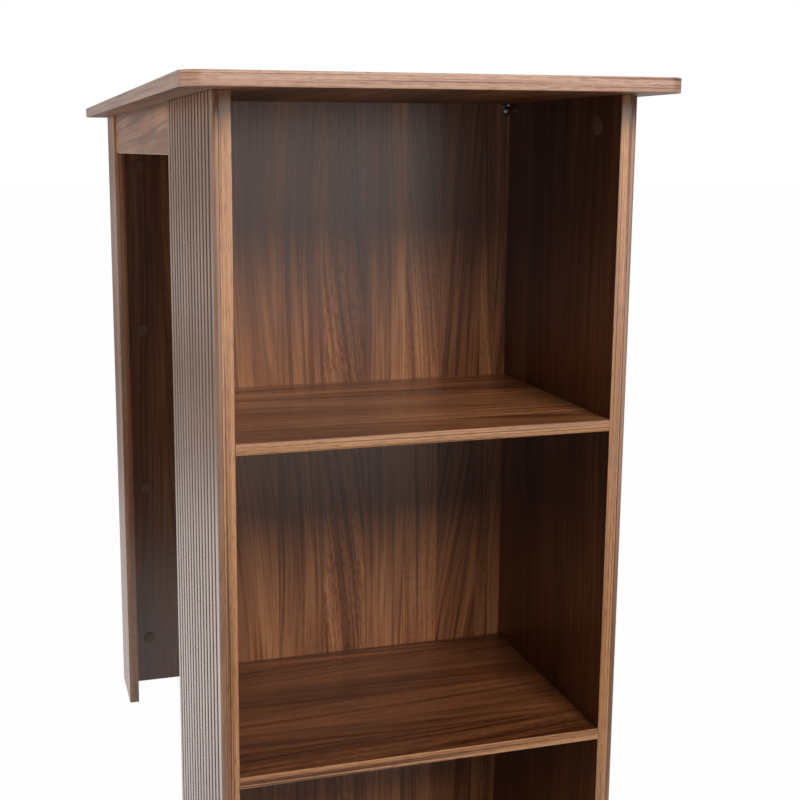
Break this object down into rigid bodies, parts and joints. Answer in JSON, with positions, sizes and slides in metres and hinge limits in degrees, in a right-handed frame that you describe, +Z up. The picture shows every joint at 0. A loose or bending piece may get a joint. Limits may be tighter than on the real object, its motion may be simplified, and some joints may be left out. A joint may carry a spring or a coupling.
{
  "type": "lectern",
  "caption": "Standing-height lectern: a long wood-grain top on an open bookcase with fluted sides and an L-shaped panel leg, held together with cam locks.",
  "frame": {"origin": "on the floor, under the middle of the top's outline", "axes": "+Y along the top's length, from the open bookcase front towards the far leg; +X across the top, to the right of someone who faces the open bookcase; +Z up"},
  "size_m": [0.51, 1.13, 1.06],
  "materials": {
    "walnut_laminate": "semi-gloss walnut-pattern laminate on chipboard, fine pores",
    "walnut_edge_band": "satin light walnut edge band",
    "zinc": "plain die-cast zinc",
    "zinc_plated_steel": "bright zinc plate",
    "brown_painted_steel": "satin dark brown paint",
    "brown_plastic": "matt dark brown moulding",
    "beech": "plain beech"
  },
  "bodies": {
    "lectern": {"top_panel": "walnut_laminate", "top_edge_band": "walnut_edge_band", "left_side_panel": "walnut_laminate", "right_side_panel": "walnut_laminate", "left_side_band": "walnut_edge_band", "right_side_band": "walnut_edge_band", "left_fluted_panel": "walnut_laminate", "right_fluted_panel": "walnut_laminate", "back_panel": "walnut_laminate", "back_stile": "walnut_laminate", "upper_shelf": "walnut_laminate", "lower_shelf": "walnut_laminate", "bottom_panel": "walnut_laminate", "upper_shelf_band": "walnut_edge_band", "lower_shelf_band": "walnut_edge_band", "bottom_panel_band": "walnut_edge_band", "apron": "walnut_laminate", "apron_band": "walnut_edge_band", "rear_rail": "walnut_laminate", "rear_rail_band": "walnut_edge_band", "return_panel": "walnut_laminate", "return_panel_bands": "walnut_edge_band", "end_panel": "walnut_laminate", "end_panel_band": "walnut_edge_band", "leg_cam_bolts": "zinc_plated_steel", "top_cam_bolts": "zinc_plated_steel", "leg_cam_caps": "brown_plastic", "case_cam_caps": "brown_plastic", "end_cam_caps": "brown_plastic", "leg_dowels": "beech", "top_dowels": "beech", "shelf_dowels": "beech", "rail_dowels": "beech", "left_case_screws": "zinc_plated_steel", "right_case_screws": "zinc_plated_steel", "corner_brackets": "brown_painted_steel", "rail_brackets": "brown_painted_steel", "bracket_screws": "zinc_plated_steel", "floor_glides": "brown_plastic"},
    "leg_cam_1": {"leg_cam_1": "zinc"},
    "leg_cam_2": {"leg_cam_2": "zinc"},
    "leg_cam_3": {"leg_cam_3": "zinc"},
    "leg_cam_4": {"leg_cam_4": "zinc"},
    "left_case_cam": {"left_case_cam": "zinc"},
    "right_case_cam": {"right_case_cam": "zinc"},
    "left_end_cam": {"left_end_cam": "zinc"},
    "right_end_cam": {"right_end_cam": "zinc"}
  },
  "joints": [
    {"name": "leg_cam_1_turn", "type": "hinge", "parent": "lectern", "child": "leg_cam_1", "pos_m": [-0.172, 0.513, 0.087], "axis": [0, 1, 0], "range_deg": [0, 180]},
    {"name": "leg_cam_2_turn", "type": "hinge", "parent": "lectern", "child": "leg_cam_2", "pos_m": [-0.172, 0.513, 0.37833], "axis": [0, 1, 0], "range_deg": [0, 180]},
    {"name": "leg_cam_3_turn", "type": "hinge", "parent": "lectern", "child": "leg_cam_3", "pos_m": [-0.172, 0.513, 0.66967], "axis": [0, 1, 0], "range_deg": [0, 180]},
    {"name": "leg_cam_4_turn", "type": "hinge", "parent": "lectern", "child": "leg_cam_4", "pos_m": [-0.172, 0.513, 0.961], "axis": [0, 1, 0], "range_deg": [0, 180]},
    {"name": "left_case_cam_turn", "type": "hinge", "parent": "lectern", "child": "left_case_cam", "pos_m": [-0.20675, -0.467, 1.015], "axis": [-1, 0, 0], "range_deg": [0, 180]},
    {"name": "right_case_cam_turn", "type": "hinge", "parent": "lectern", "child": "right_case_cam", "pos_m": [0.21275, -0.467, 1.015], "axis": [1, 0, 0], "range_deg": [0, 180]},
    {"name": "left_end_cam_turn", "type": "hinge", "parent": "lectern", "child": "left_end_cam", "pos_m": [-0.114, 0.513, 1.015], "axis": [0, 1, 0], "range_deg": [0, 180]},
    {"name": "right_end_cam_turn", "type": "hinge", "parent": "lectern", "child": "right_end_cam", "pos_m": [0.165, 0.513, 1.015], "axis": [0, 1, 0], "range_deg": [0, 180]}
  ]
}
